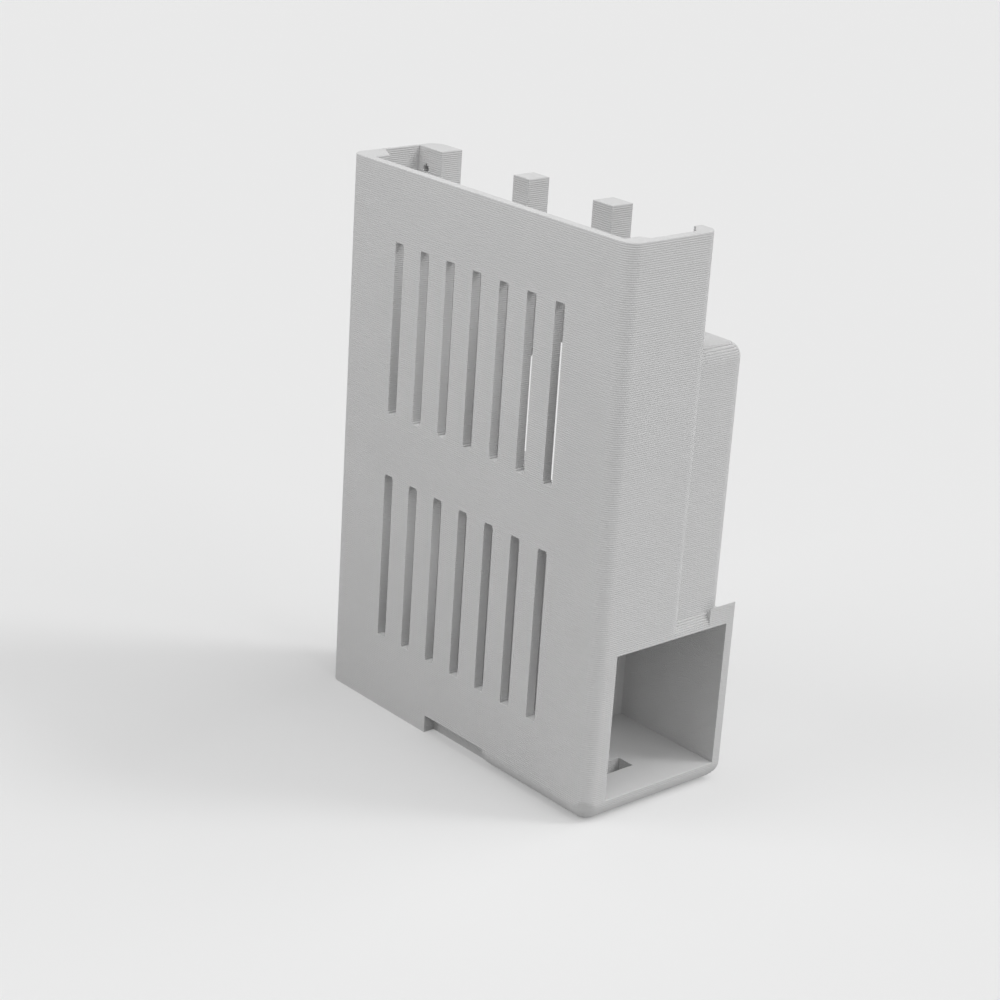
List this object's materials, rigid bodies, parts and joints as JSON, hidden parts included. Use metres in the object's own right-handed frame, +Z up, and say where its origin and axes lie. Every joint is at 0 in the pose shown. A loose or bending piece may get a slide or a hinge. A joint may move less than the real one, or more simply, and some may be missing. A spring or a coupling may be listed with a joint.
{
  "type": "single-board computer case",
  "caption": "Upright open-topped case for a credit-card sized single-board computer, with slotted front wall, comb of port posts, rear wiring channel and side wire exit.",
  "frame": {"origin": "bottom centre of the bounding box, on the plane that the case stands on", "axes": "+Z up towards the open top, -Y out of the slotted front wall, +X out of the wire exit"},
  "size_m": [0.062, 0.0278, 0.0872],
  "materials": {
    "printed_plastic": "matte, with fine level print layers"
  },
  "bodies": {
    "root": {"case_body": "printed_plastic"}
  },
  "joints": []
}
